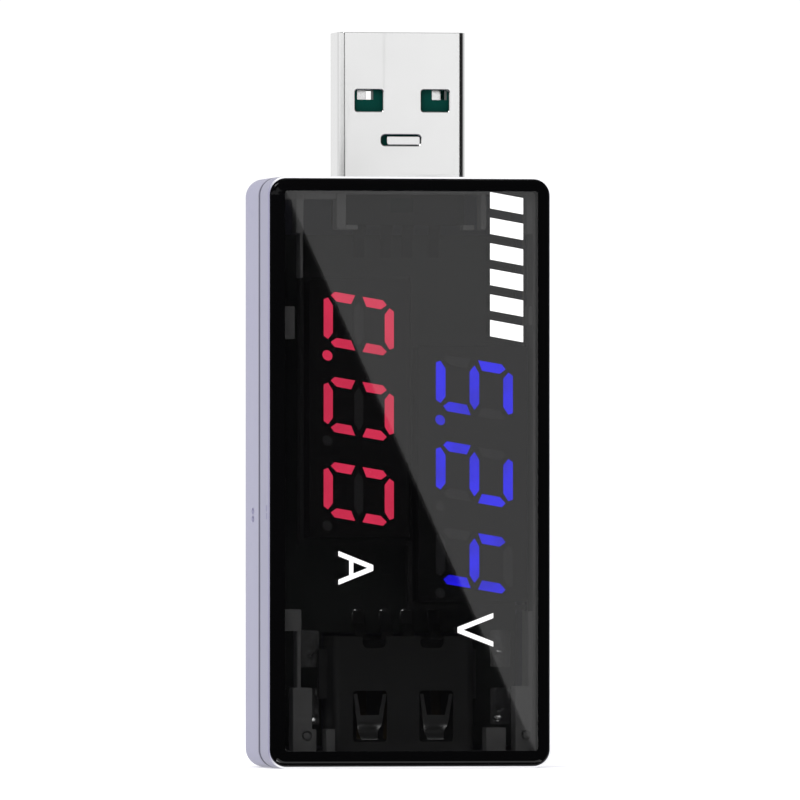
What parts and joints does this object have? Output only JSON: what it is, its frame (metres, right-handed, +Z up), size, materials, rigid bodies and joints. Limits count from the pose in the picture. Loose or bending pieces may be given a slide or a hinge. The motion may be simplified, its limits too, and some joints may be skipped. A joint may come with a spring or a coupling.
{
  "type": "usb power meter",
  "caption": "Pocket USB power meter: plug on top, socket at the bottom, current and voltage shown in lit digits behind a smoked window in a two-shell case.",
  "frame": {"origin": "middle of the bottom end of the case, on the plane the meter stands on, half way through its thickness", "axes": "+Z up along the plug, the window faces -Y, +X to the right when looking at the window"},
  "size_m": [0.0264, 0.0126, 0.0677],
  "materials": {
    "lavender_plastic": "smooth satin-gloss moulded case plastic, pale lavender grey",
    "smoked_acrylic": "polished smoked clear plastic with a black border",
    "black_plastic": "matt black moulded plastic",
    "red_resin": "diffusing resin, lit red",
    "blue_resin": "diffusing resin, lit blue",
    "board_laminate": "dark solder mask over glass fibre laminate",
    "component_body": "moulded component body",
    "capacitor_ceramic": "fired ceramic chip",
    "green_plastic": "dark green moulded insulator",
    "nickel_plate": "bright nickel plated sheet steel",
    "gold_plate": "gilt contact strip"
  },
  "bodies": {
    "case": {"ammeter_housing": "black_plastic", "ammeter_segments": "red_resin", "ammeter_substrate": "board_laminate", "voltmeter_housing": "black_plastic", "voltmeter_segments": "blue_resin", "voltmeter_substrate": "board_laminate", "back_shell": "lavender_plastic", "front_frame": "lavender_plastic", "window": "smoked_acrylic", "display_spacer": "black_plastic", "main_board": "board_laminate", "controller_chip": "component_body", "voltage_regulator": "component_body", "current_shunt": "nickel_plate", "capacitor_1": "capacitor_ceramic", "capacitor_2": "capacitor_ceramic", "capacitor_3": "capacitor_ceramic", "resistor_1": "component_body", "resistor_2": "component_body", "resistor_3": "component_body", "resistor_4": "component_body", "plug_shell": "nickel_plate", "plug_insulator": "green_plastic", "plug_contact_power": "gold_plate", "plug_contact_data_minus": "gold_plate", "plug_contact_data_plus": "gold_plate", "plug_contact_ground": "gold_plate", "socket_shell": "nickel_plate", "socket_insulator": "black_plastic", "socket_tail_power": "gold_plate", "socket_tail_data_minus": "gold_plate", "socket_tail_data_plus": "gold_plate", "socket_tail_ground": "gold_plate"},
    "contact_power": {"socket_contact_power": "gold_plate"},
    "contact_data_minus": {"socket_contact_data_minus": "gold_plate"},
    "contact_data_plus": {"socket_contact_data_plus": "gold_plate"},
    "contact_ground": {"socket_contact_ground": "gold_plate"},
    "spring_front_left": {"socket_spring_front_left": "nickel_plate"},
    "spring_front_right": {"socket_spring_front_right": "nickel_plate"},
    "spring_back_left": {"socket_spring_back_left": "nickel_plate"},
    "spring_back_right": {"socket_spring_back_right": "nickel_plate"}
  },
  "joints": [
    {"name": "contact_power_flex", "type": "hinge", "parent": "case", "child": "contact_power", "pos_m": [-0.0035, 0, 0.0098], "axis": [1, 0, 0], "range_deg": [0, 2.5], "stiffness_Nm_per_rad": 0.01},
    {"name": "contact_data_minus_flex", "type": "hinge", "parent": "case", "child": "contact_data_minus", "pos_m": [-0.001, 0, 0.0098], "axis": [1, 0, 0], "range_deg": [0, 2.5], "stiffness_Nm_per_rad": 0.01},
    {"name": "contact_data_plus_flex", "type": "hinge", "parent": "case", "child": "contact_data_plus", "pos_m": [0.001, 0, 0.0098], "axis": [1, 0, 0], "range_deg": [0, 2.5], "stiffness_Nm_per_rad": 0.01},
    {"name": "contact_ground_flex", "type": "hinge", "parent": "case", "child": "contact_ground", "pos_m": [0.0035, 0, 0.0098], "axis": [1, 0, 0], "range_deg": [0, 2.5], "stiffness_Nm_per_rad": 0.01},
    {"name": "spring_front_left_flex", "type": "hinge", "parent": "case", "child": "spring_front_left", "pos_m": [-0.0031, -0.00273, 0.0068], "axis": [-1, 0, 0], "range_deg": [0, 5], "stiffness_Nm_per_rad": 0.01},
    {"name": "spring_front_right_flex", "type": "hinge", "parent": "case", "child": "spring_front_right", "pos_m": [0.0031, -0.00273, 0.0068], "axis": [-1, 0, 0], "range_deg": [0, 5], "stiffness_Nm_per_rad": 0.01},
    {"name": "spring_back_left_flex", "type": "hinge", "parent": "case", "child": "spring_back_left", "pos_m": [-0.0031, 0.00273, 0.0068], "axis": [1, 0, 0], "range_deg": [0, 5], "stiffness_Nm_per_rad": 0.01},
    {"name": "spring_back_right_flex", "type": "hinge", "parent": "case", "child": "spring_back_right", "pos_m": [0.0031, 0.00273, 0.0068], "axis": [1, 0, 0], "range_deg": [0, 5], "stiffness_Nm_per_rad": 0.01}
  ]
}
